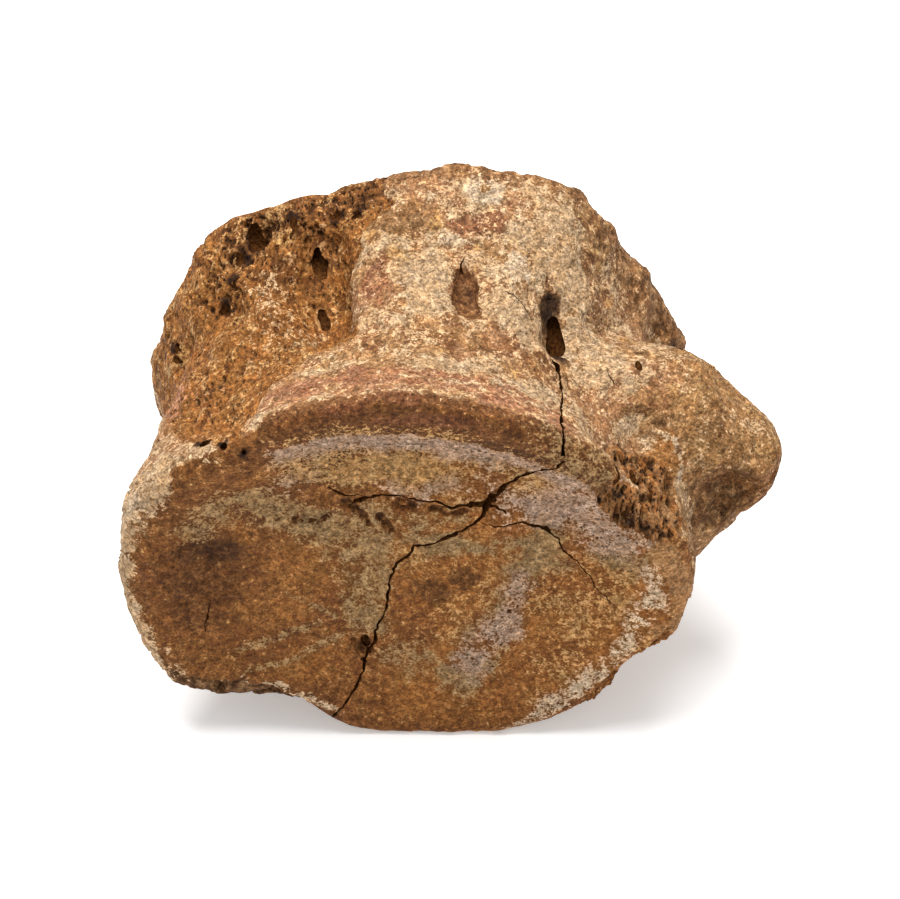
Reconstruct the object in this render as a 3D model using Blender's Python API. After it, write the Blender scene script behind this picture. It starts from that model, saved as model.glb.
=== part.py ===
"""Fossil plesiosaur vertebra: one worn and broken backbone element, as a single solid.

The spool-shaped body (the centrum) lies with its axis level. Its front articular face looks
along -Y, and one stub of a transverse process stands out on the right. The left process has
broken off, which lays the spongy inside open. The frame has X across, Y from the front face
to the rear one and Z up, and its origin is the middle of the underside.
"""

import math

import bmesh
import bpy
import numpy as np
from mathutils import Vector, noise

MM = 0.001
TAU = 2 * math.pi

# All sizes are in millimetres, from the centrum's axis across, the front face back and the floor up.

# The centrum. Outlines run clockwise as seen from the front, as (x, z).
LENGTH = 64.0
CENTRE_Z = 41.0
FRONT_OUTLINE = (
    (-53.5, 45), (-51.5, 55.5), (-44, 64), (-33, 70.5), (-19, 78), (-4, 81), (12, 78.5), (29, 70.5),
    (40, 62), (49.5, 52), (52.5, 38), (50.5, 27), (47, 21), (41, 17.5), (39, 12.5), (35, 7),
    (27, 3.2), (17, 0), (5, -1.2), (-5, -1.0), (-12, 1), (-16, 3.6), (-20, 6.8), (-31, 8),
    (-43.5, 10), (-47, 14), (-50, 21), (-53, 33),
)
REAR_OUTLINE = (
    (-51.5, 45), (-47, 60), (-40.5, 71), (-31, 77), (-18, 81.5), (-8, 85), (3, 87), (18, 86.5), (31, 82.5),
    (37, 75.5), (42.5, 66), (49, 56), (52, 45), (51, 32), (46, 18), (36, 8), (22, 1), (4, -1.4),
    (-9, -0.4), (-16, 5), (-25, 8), (-36, 9), (-45, 17), (-50, 30),
)
WAIST_DEPTH = 6.5
WAIST_EXTRA_AT_SIDES = 1.0
FRONT_RIM_ROUND = (1.5, 4.5)  # radius of the rim's edge at the top and bottom, and at the sides
REAR_RIM_ROUND = (3.0, 4.0)
FRONT_DISH = (1.0, 4.5)  # how far the face lies back at the bottom, and behind the top lip
FRONT_DISH_WIDTH = 0.34  # share of the radius over which the lip slopes down into the face
REAR_DISH = (4.0, 5.0)
REAR_DISH_WIDTH = 0.6

# The right transverse process, as (x, middle y, middle z, half depth, half height).
PROCESS_STATIONS = (
    (18, 31, 41, 20, 22), (26, 31, 41, 20, 25), (34, 31, 41, 20, 25.5), (43, 31, 41.5, 18.5, 24.5),
    (50, 30.5, 42.3, 17, 23), (54, 30, 43.3, 15.5, 20.5), (58, 30, 45.3, 14, 16.3), (62, 29, 46.3, 11.7, 12.3),
    (65, 28.3, 46, 9, 9.2), (67, 28, 45.6, 6, 6.2), (68.3, 27.8, 45.5, 3, 3.2),
)

# Where the surface sinks below the plain form, as (path, radius about it, depth).
HOLLOWS = {
    "front foramen": (((10, 34, 76), (10, 40, 77)), 3.8, 3.6),
    "side foramen": (((26, 31, 69), (25.5, 37, 71)), 4.2, 5.0),
    "channel above the side foramen": (((25.5, 38, 71), (24.5, 46, 75)), 2.6, 1.6),
    "groove along the broken edge": (((-17.5, 50, 78), (-17, 41, 75), (-15, 32, 73)), 7.0, 6.0),
    "dip towards the groove": (((-20, 38, 74),), 13.0, 2.0),
    "gap under the rear ledge": (((-15, 58, 82), (-5, 57, 84)), 5.5, 2.2),
    "trench": (((-29, 56, 76), (-34, 49, 68), (-33, 42, 67)), 5.0, 2.6),
    "crater": (((-29, 57, 76),), 4.5, 3.0),
    "left pores": (((-44, 45, 57),), 5.0, 2.5),
    "step at the rim's left": (((-38, 13, 63), (-29, 9, 70)), 5.0, 2.5),
    "chip in the right rim": (((36, 11, 63), (42, 8, 61), (47, 6, 55)), 8.0, 4.0),
    "chip behind the right rim": (((42, 17, 59),), 7.0, 2.5),
    "process root": (((52, 17, 56), (55, 16, 44)), 6.0, 1.2),
    "lower right break": (((24, 8, 2), (34, 9, 9), (42, 10, 17)), 6.0, 2.5),
    "canal": (((-23, 10, 6), (-23, 64, 6)), 10.0, 5.5),
    "right canal edge": (((36, 12, 10), (34, 50, 10)), 10.0, 3.0),
    "gap at the rear bump": (((49, 52, 56), (50, 50, 50)), 6.0, 3.0),
    "rear face pit": (((8, 64, 40),), 14.0, 2.0),
    "rear face chip": (((-40, 63, 62), (-47, 63, 50)), 9.0, 4.0),
}
# Where it rises above it, the same way.
LUMPS = {
    "left stump": (((-46, 24, 46), (-43, 28, 56)), 16.0, 2.4),
    "left mound": (((-28, 38, 70), (-37, 30, 62)), 8.0, 1.8),
    "ledge of whole surface": (((-5, 55, 83), (-5, 40, 77), (-2, 27, 74)), 7.5, 1.6),
    "shelf between the foramina": (((17, 30, 74), (17, 42, 76)), 6.0, 1.2),
    "shelf beyond the side foramen": (((33, 33, 68), (33, 44, 70)), 6.0, 1.2),
    "rear bump": (((50, 60, 48),), 7.0, 1.2),
    "process knob": (((65, 24, 50),), 7.0, 1.2),
    "face middle": (((10, 3, 50), (14, 3, 22)), 16.0, 0.9),
}
# Where the spongy inside is laid open, as (path, radius).
BROKEN_AREAS = (
    (((-44, 20, 50), (-42, 45, 58), (-30, 45, 70), (-16, 56, 80)), 22.0),
    (((38, 11, 62), (47, 6, 55)), 9.0),
    (((5, 64, 84), (38, 62, 74), (50, 60, 50)), 9.0),
    (((-34, 10, 8), (-34, 55, 8)), 14.0),
    (((32, 10, 6), (32, 55, 6)), 14.0),
    (((-40, 62, 62), (-47, 62, 50)), 11.0),
)
# Height of the surface's roughness, and how far apart its lumps are.
CORTEX_ROUGH = (0.35, 9.0)
SPONGE_ROUGH = (1.5, 4.5)

# Meshing.
COLUMNS = 120
SIDE_ROWS = 30
CAP_ROWS = 14
EDGE_ROWS = 5
FINE_VOXEL = 0.9
JOINT_ROUNDS = 30  # rounds of smoothing where the process runs into the centrum
MOST_TRIANGLES = 9400


def closed_spline_radius(outline):
    """The outline's radius about the centrum's axis, as a smooth function of the angle."""
    points = np.array(outline, float) - (0, CENTRE_Z)
    angles = np.arctan2(points[:, 1], points[:, 0]) % TAU
    order = np.argsort(angles)
    angles = angles[order]
    radii = np.hypot(points[order, 0], points[order, 1])

    def radius(angle):
        after = np.searchsorted(angles, angle % TAU) % len(angles)
        p0, p1, p2, p3 = (radii[(after + k) % len(angles)] for k in (-2, -1, 0, 1))
        start = angles[after - 1]
        span = (angles[after] - start) % TAU
        t = ((angle - start) % TAU) / span
        smooth = p1 + 0.5 * t * (p2 - p0)
        smooth += t**2 * (p0 - 2.5 * p1 + 2 * p2 - 0.5 * p3)
        return smooth + t**3 * (1.5 * (p1 - p2) + 0.5 * (p3 - p0))

    return radius


def smooth_step(t):
    t = np.clip(t, 0, 1)
    return t * t * (3 - 2 * t)


def column_angles():
    return np.arange(COLUMNS) * TAU / COLUMNS


def edge_radius(angle, at_ends, at_sides):
    return at_ends + (at_sides - at_ends) * np.cos(angle) ** 2


def cap_rows(radius, edge, dish, dish_width):
    """Rows of an end face from its middle out, as (radii, how far each point lies back)."""
    for share in np.linspace(0, 1, CAP_ROWS + 1)[1:]:
        radii = share * (radius - edge)
        height = CENTRE_Z + radii * np.sin(column_angles())
        depth = np.interp(height, (0, 2 * CENTRE_Z), dish)
        yield radii, depth * (1 - smooth_step((share - 1 + dish_width) / dish_width))


def edge_rows(radius, edge):
    """Rows round the edge of an end face, from the face to the side."""
    for turn in np.linspace(0, math.pi / 2, EDGE_ROWS + 1)[1:]:
        yield radius - edge * (1 - math.sin(turn)), edge * (1 - math.cos(turn))


def side_rows(front, rear, front_edge, rear_edge):
    """Rows along the side, which draws in to a waist between the two rims."""
    waist = WAIST_DEPTH + WAIST_EXTRA_AT_SIDES * np.cos(column_angles()) ** 2
    for t in np.linspace(0, 1, SIDE_ROWS + 1)[1:-1]:
        radii = front + (rear - front) * smooth_step(t) - waist * math.sin(math.pi * t) ** 1.2
        yield radii, front_edge + t * (LENGTH - front_edge - rear_edge)


def centrum_rows():
    """Every row of the centrum from the middle of the front face to that of the rear face."""
    angle = column_angles()
    front = closed_spline_radius(FRONT_OUTLINE)(angle)
    rear = closed_spline_radius(REAR_OUTLINE)(angle)
    front_edge = edge_radius(angle, *FRONT_RIM_ROUND)
    rear_edge = edge_radius(angle, *REAR_RIM_ROUND)
    rows = list(cap_rows(front, front_edge, FRONT_DISH, FRONT_DISH_WIDTH))
    rows += edge_rows(front, front_edge)
    rows += side_rows(front, rear, front_edge, rear_edge)
    back = list(cap_rows(rear, rear_edge, REAR_DISH, REAR_DISH_WIDTH))
    back += edge_rows(rear, rear_edge)
    rows += [(radii, LENGTH - depth) for radii, depth in reversed(back)]
    return rows


def loft(name, rings, first, last):
    """A closed mesh through rings of points, with a fan of triangles at each end."""
    build = bmesh.new()
    made = [[build.verts.new(Vector(p) * MM) for p in ring] for ring in rings]
    for ring, following in zip(made, made[1:]):
        for k in range(len(ring)):
            build.faces.new((ring[k - 1], ring[k], following[k], following[k - 1]))
    for ring, tip in ((made[0], first), (made[-1], last)):
        end = build.verts.new(Vector(tip) * MM)
        for k in range(len(ring)):
            build.faces.new((ring[k - 1], ring[k], end))
    bmesh.ops.recalc_face_normals(build, faces=build.faces)
    return object_from(build, name)


def object_from(build, name):
    mesh = bpy.data.meshes.new(name)
    build.to_mesh(mesh)
    build.free()
    made = bpy.data.objects.new(name, mesh)
    bpy.context.scene.collection.objects.link(made)
    return made


def make_centrum():
    angle = column_angles()
    rings = []
    for radii, depth in centrum_rows():
        depth = np.broadcast_to(depth, radii.shape)
        rings.append(np.column_stack((radii * np.cos(angle), depth, CENTRE_Z + radii * np.sin(angle))))
    middle_front = (0, sum(FRONT_DISH) / 2, CENTRE_Z)
    middle_rear = (0, LENGTH - sum(REAR_DISH) / 2, CENTRE_Z)
    return loft("vertebra", rings, middle_front, middle_rear)


def make_process():
    """The stub of the right transverse process, whose root lies inside the centrum."""
    angle = np.arange(COLUMNS // 2) * 2 * TAU / COLUMNS
    rings = []
    for x, y, z, half_depth, half_height in PROCESS_STATIONS:
        across = np.full(len(angle), float(x))
        ring = (across, y + half_depth * np.cos(angle), z + half_height * np.sin(angle))
        rings.append(np.column_stack(ring))
    first, last = PROCESS_STATIONS[0][:3], PROCESS_STATIONS[-1][:3]
    return loft("process", rings, first, np.add(last, (0.4, 0, 0)))


def make_floor_cutter():
    """A block whose top is the floor, which leaves the two small flats that the fossil rests on."""
    build = bmesh.new()
    bmesh.ops.create_cube(build, size=0.2)
    bmesh.ops.translate(build, verts=build.verts, vec=(0, 0, -0.1))
    return object_from(build, "floor_cutter")


def add_modifier(target, kind, **settings):
    made = target.modifiers.new(kind.lower(), kind)
    for name, value in settings.items():
        setattr(made, name, value)
    return made


def as_helper(helper):
    helper.hide_render = True
    helper.display_type = "WIRE"
    return helper


def bake(target):
    """Turns the object's modifiers into plain mesh."""
    graph = bpy.context.evaluated_depsgraph_get()
    target.data = bpy.data.meshes.new_from_object(target.evaluated_get(graph))
    target.modifiers.clear()


def vectors_of(mesh, attribute):
    flat = np.empty(len(mesh.vertices) * 3)
    mesh.vertices.foreach_get(attribute, flat)
    return flat.reshape(-1, 3)


def set_points(mesh, points):
    mesh.vertices.foreach_set("co", (points * MM).ravel())
    mesh.update()


def distance_to_path(points, path):
    if len(path) == 1:
        return np.linalg.norm(points - path[0], axis=1)
    nearest = np.full(len(points), np.inf)
    for start, end in zip(np.array(path, float), np.array(path[1:], float)):
        along = end - start
        t = np.clip((points - start) @ along / (along @ along), 0, 1)
        nearest = np.minimum(nearest, np.linalg.norm(points - start - t[:, None] * along, axis=1))
    return nearest


def falloff(distance, radius):
    """1 at the path and 0 at the radius, with no edge at either."""
    return np.clip(1 - (distance / radius) ** 2, 0, 1) ** 2


def smooth_joint(mesh):
    """Rounds out the corner where the process meets the centrum."""
    points = vectors_of(mesh, "co") / MM
    ends = np.empty(len(mesh.edges) * 2, np.int64)
    mesh.edges.foreach_get("vertices", ends)
    a, b = ends.reshape(-1, 2).T
    count = np.bincount(ends, minlength=len(points))[:, None]
    share = falloff(distance_to_path(points, ((45, 14, 45), (45, 48, 45))), 26.0)[:, None]
    share = np.minimum(1, 2 * share) * (points[:, :1] > 34)
    for _ in range(JOINT_ROUNDS):
        total = np.zeros_like(points)
        np.add.at(total, a, points[b])
        np.add.at(total, b, points[a])
        points += 0.6 * share * (total / count - points)
    set_points(mesh, points)


def roughness(points, height, spacing, seed):
    offset = Vector((17.3, -4.1, 9.7)) * seed
    rough = [noise.fractal(Vector(p) / spacing + offset, 0.8, 2.1, 3) for p in points]
    return height * np.array(rough)


def weather(mesh):
    """Sinks the hollows, raises the lumps and roughens the surface."""
    points = vectors_of(mesh, "co") / MM
    inward = -vectors_of(mesh, "normal")
    depth = np.zeros(len(points))
    for path, radius, deepest in HOLLOWS.values():
        depth += deepest * falloff(distance_to_path(points, path), radius)
    for path, radius, highest in LUMPS.values():
        depth -= highest * falloff(distance_to_path(points, path), radius)
    open_bone = np.zeros(len(points))
    for path, radius in BROKEN_AREAS:
        open_bone = np.maximum(open_bone, falloff(distance_to_path(points, path), radius))
    depth += roughness(points, *CORTEX_ROUGH, seed=1)
    depth += np.minimum(1, 2 * open_bone) * roughness(points, *SPONGE_ROUGH, seed=2)
    set_points(mesh, points + inward * depth[:, None])


def bone_material():
    made = bpy.data.materials.new("fossil_bone")
    made.use_nodes = True
    shader = made.node_tree.nodes["Principled BSDF"]
    shader.inputs["Base Color"].default_value = (0.42, 0.24, 0.12, 1)
    shader.inputs["Roughness"].default_value = 0.85
    shader.inputs["Metallic"].default_value = 0.0
    return made


def centre_on_origin(body, helper):
    """Moves the body so that the middle of its underside is the frame's origin."""
    bpy.context.view_layer.update()
    graph = bpy.context.evaluated_depsgraph_get()
    corners = np.array([tuple(corner) for corner in body.evaluated_get(graph).bound_box])
    middle = (corners.min(axis=0) + corners.max(axis=0)) / 2
    for placed in (body, helper):
        placed.location = (-middle[0], -middle[1], 0)


def make_vertebra():
    body = make_centrum()
    add_modifier(body, "BOOLEAN", operation="UNION", object=as_helper(make_process()))
    remesh = {"mode": "VOXEL", "voxel_size": FINE_VOXEL * MM}
    add_modifier(body, "REMESH", **remesh)
    bake(body)
    smooth_joint(body.data)
    weather(body.data)
    add_modifier(body, "REMESH", **remesh)
    bake(body)
    triangles = 2 * len(body.data.polygons)
    add_modifier(body, "DECIMATE", ratio=MOST_TRIANGLES / triangles)
    bake(body)
    floor_cutter = as_helper(make_floor_cutter())
    add_modifier(body, "BOOLEAN", operation="DIFFERENCE", object=floor_cutter)
    centre_on_origin(body, floor_cutter)
    body.data.materials.append(bone_material())
    body.data.shade_smooth()


def main():
    for old in list(bpy.data.objects):
        bpy.data.objects.remove(old)
    make_vertebra()


main()
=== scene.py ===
"""The looks of a fossil plesiosaur vertebra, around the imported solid.

Places are in mm: x from the axis of the spool-shaped body towards the process that is left, y back from the
front face, z up from the floor. The front face looks at the camera.
"""

import itertools
import math

import bmesh
import bpy
import numpy as np
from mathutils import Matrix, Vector
from mathutils.kdtree import KDTree


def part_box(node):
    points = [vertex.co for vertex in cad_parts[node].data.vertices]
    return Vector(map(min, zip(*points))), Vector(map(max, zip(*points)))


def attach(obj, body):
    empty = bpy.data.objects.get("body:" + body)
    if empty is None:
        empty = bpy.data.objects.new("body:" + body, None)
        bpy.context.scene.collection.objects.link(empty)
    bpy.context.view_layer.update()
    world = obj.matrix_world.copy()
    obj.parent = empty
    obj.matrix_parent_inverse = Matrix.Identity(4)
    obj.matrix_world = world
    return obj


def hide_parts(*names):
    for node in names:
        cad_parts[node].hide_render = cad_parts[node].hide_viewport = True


NODE = "vertebra"
PRIMES = (73856093, 19349663, 83492791)

# Camera and light
LENS = 137.14
CAMERA = (7.0, -459.63, 456.06)
TARGET = (7.0, 0.0, 70.39)
KEY_PLACE = (-70.0, 110.0, 720.0)
KEY_SIZE = 0.6
KEY_POWER = 8.4
WORLD_STRENGTH = 0.62
FLOOR_SIZE = 8.0
FLOOR_COLOUR = (0.96, 0.96, 0.96)
FLOOR_GLOW = 0.26

# Where the body's axis and its front face lie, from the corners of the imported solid
AXIS_FROM_RIGHT = 68.63
FRONT_FROM_LOW = 0.145

# Mesh sizes before and after the surface is reshaped, rounds of smoothing for each, the number of
# triangles before the cracks are cut, and the height of the finest grain
COARSE = 0.9
FINE = 0.4
COARSE_ROUNDS = 14
FINE_ROUNDS = 3
TRIANGLES = 186000
GRAIN_HEIGHT = 0.35

# The line, y and x, where the outer skin of the bone ends and its spongy inside lies open
SKIN_EDGE = ((1, -30), (8, -29), (14, -27), (18, -24), (23, -20), (24.5, -9.8), (28, -10), (36, -11.5),
             (44, -11), (51, -7.6), (54, -3), (58, -5), (64, -5.5))
# How far back the skin of the front rim reaches on the left, x and y
RIM_BACK = ((-52, 40), (-48, 34), (-45, 24), (-41, 12), (-37, 5), (-30, 1))
# Lower edge of the brown band under the front face's crest, x and z; its brown is partly the bone's own and
# partly painted shade of that slope, which faces down
LIP_EDGE = ((-32, 64), (-26, 69.5), (-14, 72.3), (-2, 72.3), (12, 70), (23, 66.6), (32, 62), (38, 57))

# Where a chip broke out of the front rim: its outline's middle, and the plane of its floor
CHIP = ((37.2, 3, 58.5), (39.8, 2, 55.4), (44.5, 3, 52.2), (46.6, 7, 53), (44.5, 10.5, 56.5),
        (39.5, 12, 60.5))
CHIP_FLOOR = (37.2, 1.0, 54.7)
CHIP_SLOPE = (0.487, -0.29, 0.824)
# Lower edges of the front face, x and z, beyond which the rim is broken away
BORDER_RIGHT = ((18, -2), (22, 1), (27.7, 4.6), (31.6, 8.4), (34.6, 12.8), (39, 18.2), (43.6, 22.6),
                (47, 27.4))
BORDER_LEFT = ((-50, 20), (-46, 17.2), (-38, 14.6), (-30.2, 13.6), (-26, 12.4), (-21.1, 9.6),
               (-15.6, 4.2), (-13, 0))
# The rough part of the rear rim: points x, y, z
REAR_RIM = ((-2, 64, 85), (16, 63, 84), (28, 62, 80), (35, 60, 76), (43, 58, 63), (50, 60, 50))
# Open bone with the largest pores, at the rear left and beside the groove
COARSE_BONE = (((-36, 50, 68), (-32, 55, 73), (-22, 59, 79), (-8, 60, 84)), ((-17, 50, 78), (-14, 32, 73)))

# Deep holes: points x, y, z and radius
HOLES = (((25.2, 39, 73.2, 0.7), (25.5, 36.5, 71.4, 1.4), (25.9, 34, 69.9, 1.9), (26.3, 31.5, 68.4, 2.3),
          (26.4, 29.6, 66.6, 1.9), (26.3, 28.6, 65.0, 0.9)),
         ((-18.6, 51.5, 78.4, 0.8), (-18.2, 49, 76.8, 1.6), (-17.6, 46.2, 75.4, 1.9),
          (-16.9, 43.4, 74.4, 1.1)),
         ((-16.6, 36.8, 73.8, 0.5), (-16.0, 34.9, 73.2, 1.3), (-15.5, 33, 72.4, 1.2),
          (-15.2, 31.4, 71.8, 0.4)),
         ((-30.4, 58, 77.6, 1.1), (-29.6, 57, 75.6, 1.8), (-28.9, 56.2, 74.0, 2.1), (-28.4, 55, 72.2, 1.3)),
         ((-31.6, 54.4, 74.6, 0.7), (-31.4, 53.4, 72.8, 1.1), (-31.2, 52.6, 71.2, 0.8)),
         ((-33.4, 49.8, 71.0, 0.6), (-33.6, 49.0, 69.0, 1.0), (-33.4, 48.4, 67.4, 0.7)),
         ((-35.6, 46.2, 68.0, 0.5), (-35.2, 45.6, 66.2, 0.9), (-34.6, 45, 64.6, 0.6)),
         ((-22.5, 56.6, 80.6, 0.6), (-22.2, 55.6, 78.6, 1.0), (-22, 54.6, 77.2, 0.6)),
         ((-14.6, 57.4, 82.6, 0.7), (-14.4, 56.6, 80.6, 1.1), (-14.2, 55.8, 79.2, 0.7)),
         ((-10.4, 56.4, 83.0, 0.5), (-10.2, 55.6, 81.0, 0.9), (-10, 54.8, 79.6, 0.6)),
         ((-46.8, 49.6, 54.6, 0.6), (-45.2, 49.4, 54.0, 1.1), (-43.4, 49.2, 53.4, 0.7)),
         ((-47.0, 51.6, 50.2, 0.5), (-45.6, 51.4, 50.0, 0.9), (-44.2, 51.2, 49.8, 0.6)),
         ((-36.6, 4.2, 70.0, 0.7), (-36.8, 4.8, 68.4, 1.2), (-37, 5.4, 66.8, 0.7)),
         ((-29.0, -0.6, 70.4, 0.3), (-29.2, 0.4, 68.9, 0.5), (-29.4, 1.4, 67.4, 0.3)),
         ((-33.2, 2.2, 70.4, 0.3), (-33.4, 3.0, 69.2, 0.7), (-33.6, 3.8, 68.0, 0.4)),
         ((36.4, 8.4, 62.0, 0.5), (36.6, 7.0, 59.8, 0.9), (36.9, 5.4, 58.0, 1.0), (37.2, 4.2, 56.2, 0.5)),
         ((40.8, 10.0, 60.4, 0.4), (40.6, 8.4, 58.6, 0.8), (40.6, 7.0, 57.0, 0.8), (40.6, 6.0, 55.6, 0.4)),
         ((38.6, 2.0, 58.0, 0.4), (38.6, 1.4, 56.2, 0.8), (38.8, 1.4, 54.4, 1.0), (39.2, 1.8, 52.8, 0.5)),
         ((43.8, 8.6, 57.8, 0.3), (43.6, 7.0, 56.2, 0.6), (43.4, 5.8, 54.8, 0.7), (43.4, 5.0, 53.4, 0.3)),
         ((52.0, 55.5, 52.0, 0.5), (50.4, 55.6, 50.0, 1.1), (49.0, 55.6, 47.6, 0.8)),
         ((-10.4, 3.5, 23.6, 0.3), (-9.5, 3.5, 22.0, 1.0), (-8.9, 3.5, 20.6, 0.8), (-8.5, 3.5, 19.4, 0.3)),
         ((41.6, 33.4, 65.6, 0.3), (41.8, 31.6, 64.2, 0.7), (42.2, 29.8, 63.2, 0.4)))
# Fine fissures in the skin: points x, y, z, near the surface, and half width
FISSURES = (((17, 38, 75.5, 0.02), (20.2, 37.2, 74.5, 0.05), (22, 35.6, 73, 0.02)),
            ((9.4, 45.5, 78.7, 0.05), (9.0, 43, 78.2, 0.14), (9.8, 40.8, 77.6, 0.12)),
            ((36.2, 29.4, 65.4, 0.06), (36.8, 27.5, 64.6, 0.2), (37.3, 26.2, 63.8, 0.06)))
# How far a crack's cutter stands out of the bone, the spacing of its rows, the depth of a fissure, and
# how far under the surface the middle of a hole lies, in radii
CUTTER_RISE = 2.0
CUTTER_STEP = 0.8
FISSURE_DEPTH = 0.8
HOLE_SINK = 0.35
# Shallow hollows, the top foramen and the pit in the face: points x, y, z, then radius and depth
FORAMEN = ((10.6, 31.5, 75.8), (9.8, 36, 76.6), (9.4, 39.5, 77), 2.3, 1.0)
FACE_PIT = ((-9.6, 3.5, 22.8), (-8.4, 3.5, 20.2), 2.3, 1.5)

# Colours of the bone itself, and of the painted shade in its cracks and hollows, 8-bit sRGB, and how much
# light they all give back
SHADE = 0.64
CREAM = (200, 165, 126)
TAN = (182, 137, 92)
PINK = (184, 130, 96)
RED_BROWN = (138, 84, 56)
BROWN = (122, 77, 40)
DARK_BROWN = (76, 46, 23)
ORANGE = (176, 118, 60)
RUST = (154, 98, 48)
OCHRE = (184, 140, 88)
LILAC = (182, 149, 124)
GREY = (160, 126, 84)
GREY_BROWN = (150, 109, 69)
WHITISH = (208, 179, 146)
SPONGE = (166, 109, 54)
# Painted shade: the near-black brown laid into the cracks, pores, holes and pits
CRACK_AND_PORE_SHADE = (42, 22, 10)

# Cracks in the front face: points x, z and half width at the surface
MAIN_CRACK = ((26.9, 67.8, 0.25), (25.5, 65.7, 0.2), (21.9, 63.8, 0.28), (19.8, 61.5, 0.3),
              (17.5, 59.3, 0.45), (15.4, 57.3, 0.6), (14.0, 55.9, 0.85), (13.1, 53.0, 0.3),
              (12.0, 51.1, 0.22), (8.6, 49.5, 0.25), (5.7, 47.1, 0.3), (3.6, 46.1, 0.25),
              (0.5, 45.9, 0.4), (-0.4, 43.5, 0.22), (-3.1, 40.8, 0.28), (-3.9, 36.1, 0.18),
              (-4.4, 30.4, 0.18), (-5.7, 27.2, 0.2), (-7.0, 22.4, 0.35), (-9.1, 18.1, 0.45),
              (-9.2, 15.3, 0.25), (-11.7, 9.1, 0.18), (-15.2, 4.2, 0.15))
LEFT_CRACK = ((14.0, 55.9, 0.6), (9.9, 54.9, 0.4), (7.5, 54.7, 0.28), (4.5, 56.1, 0.15), (2.2, 56.1, 0.15),
              (-2.1, 56.6, 0.14), (-5.8, 56.6, 0.25), (-9.8, 55.4, 0.35), (-10.9, 53.7, 0.15))
FAR_LEFT_CRACK = ((-14.7, 58.5, 0.1), (-12.6, 57.4, 0.25), (-10.8, 56.8, 0.12), (-8.5, 56.7, 0.08))
RIGHT_TIP_CRACK = ((13.8, 55.5, 0.3), (15.2, 54.7, 0.2), (17.0, 53.0, 0.1))
RIGHT_CRACK = ((12.6, 50.9, 0.08), (17.6, 50.4, 0.12), (19.9, 50.7, 0.28), (24.1, 49.7, 0.36),
               (26.6, 46.6, 0.12), (27.4, 44.7, 0.14), (32.2, 38.6, 0.08), (33.2, 35.9, 0.08),
               (37.0, 32.2, 0.05))
SMALL_CRACK = ((-36.9, 32.6, 0.05), (-37.4, 29.0, 0.15), (-38.1, 25.7, 0.05))
# Lines of x, z points on the front face where the crust has come off
SCARS = (((-11.5, 55.2), (-9.2, 53.6), (-8.8, 51.8), (-7.8, 50.2)),
         ((-5.4, 51.6), (-4.2, 50.6), (-3.4, 48.8)),
         ((-4.4, 55.8), (-2.0, 55.0), (0.6, 54.8)),
         ((3.6, 54.6), (7.0, 53.8), (9.8, 53.6)),
         ((-20.5, 51.2), (-19.0, 50.6), (-16.0, 51.2), (-14.6, 52.6)))
# The crack that goes on over the rim to the side foramen: points x, y, z and half width
TOP_CRACK = ((26.9, 0.5, 67.6, 0.22), (26.9, 2.0, 69.6, 0.16), (26.8, 5.0, 70.0, 0.14),
             (26.8, 10.0, 68.6, 0.14), (26.9, 17.0, 67.6, 0.14), (26.9, 23.0, 67.4, 0.18),
             (26.6, 27.0, 67.8, 0.4))


def linear(colour):
    """An 8-bit sRGB colour as linear values."""
    c = np.array(colour) / 255
    return np.where(c <= 0.04045, c / 12.92, ((c + 0.055) / 1.055) ** 2.4)


def scramble(n):
    """A number from 0 to 1 for each whole number, the same on every run."""
    n = (n ^ (n >> np.uint32(15))) * np.uint32(2246822519)
    n = (n ^ (n >> np.uint32(13))) * np.uint32(3266489917)
    n = n ^ (n >> np.uint32(16))
    return n.astype(np.float32) / np.float32(4294967295.0)


def strides(cell):
    """For each axis, a mixing number for the cell's place on it."""
    return [cell[:, axis].astype(np.uint32) * np.uint32(PRIMES[axis]) for axis in range(3)]


def lattice(cell, seed):
    """A number from 0 to 1 for each whole-number point."""
    x, y, z = strides(cell)
    return scramble(x ^ y ^ z ^ np.uint32(seed * 7919 + 1))


def noise(p, size, seed, stretch=(1, 1, 1)):
    """Smooth noise from -1 to 1, with features of about that size in mm."""
    q = p / (size * np.array(stretch, float))
    base = np.floor(q)
    part = (q - base).astype(np.float32)
    part = part * part * (3 - 2 * part)
    base = base.astype(np.int64)
    near_side = strides(base)
    far_side = strides(base + 1)
    total = np.zeros(len(p), np.float32)
    for i, j, k in itertools.product((0, 1), repeat=3):
        share = part[:, 0] if i else 1 - part[:, 0]
        share = share * (part[:, 1] if j else 1 - part[:, 1])
        share = share * (part[:, 2] if k else 1 - part[:, 2])
        mixed = (far_side if i else near_side)[0] ^ (far_side if j else near_side)[1]
        mixed = mixed ^ (far_side if k else near_side)[2] ^ np.uint32(seed * 7919 + 1)
        total += share * scramble(mixed)
    return 2 * total - 1


def fractal(p, size, seed, octaves=3, stretch=(1, 1, 1)):
    """Noise of several sizes, each half of the one before."""
    total = np.zeros(len(p))
    weight = 0.0
    for octave in range(octaves):
        gain = 0.6 ** octave
        total += gain * noise(p + 17.3 * octave, size / 2 ** octave, seed + octave, stretch)
        weight += gain
    return total / weight


def drift(p, size, seed):
    """A smooth random shift of each point, up to 1 on each axis."""
    return np.stack([fractal(p, size, seed + 3 * axis, 2) for axis in range(3)], axis=1)


def cells(p, size, seed, stretch=(1, 1, 1)):
    """Distance, in cell sizes, to the nearest of scattered points, and a number from 0 to 1 for that one."""
    q = p / (size * np.array(stretch, float))
    base = np.floor(q).astype(np.int64)
    first = np.full(len(p), 9.0)
    name = np.zeros(len(p))
    for offset in itertools.product((-1, 0, 1), repeat=3):
        cell = base + np.array(offset)
        jitter = np.stack([lattice(cell, seed + k) for k in (1, 2, 3)], axis=1)
        distance = np.linalg.norm(cell + jitter - q, axis=1)
        nearer = distance < first
        name = np.where(nearer, lattice(cell, seed), name)
        first = np.where(nearer, distance, first)
    return first, name


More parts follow.
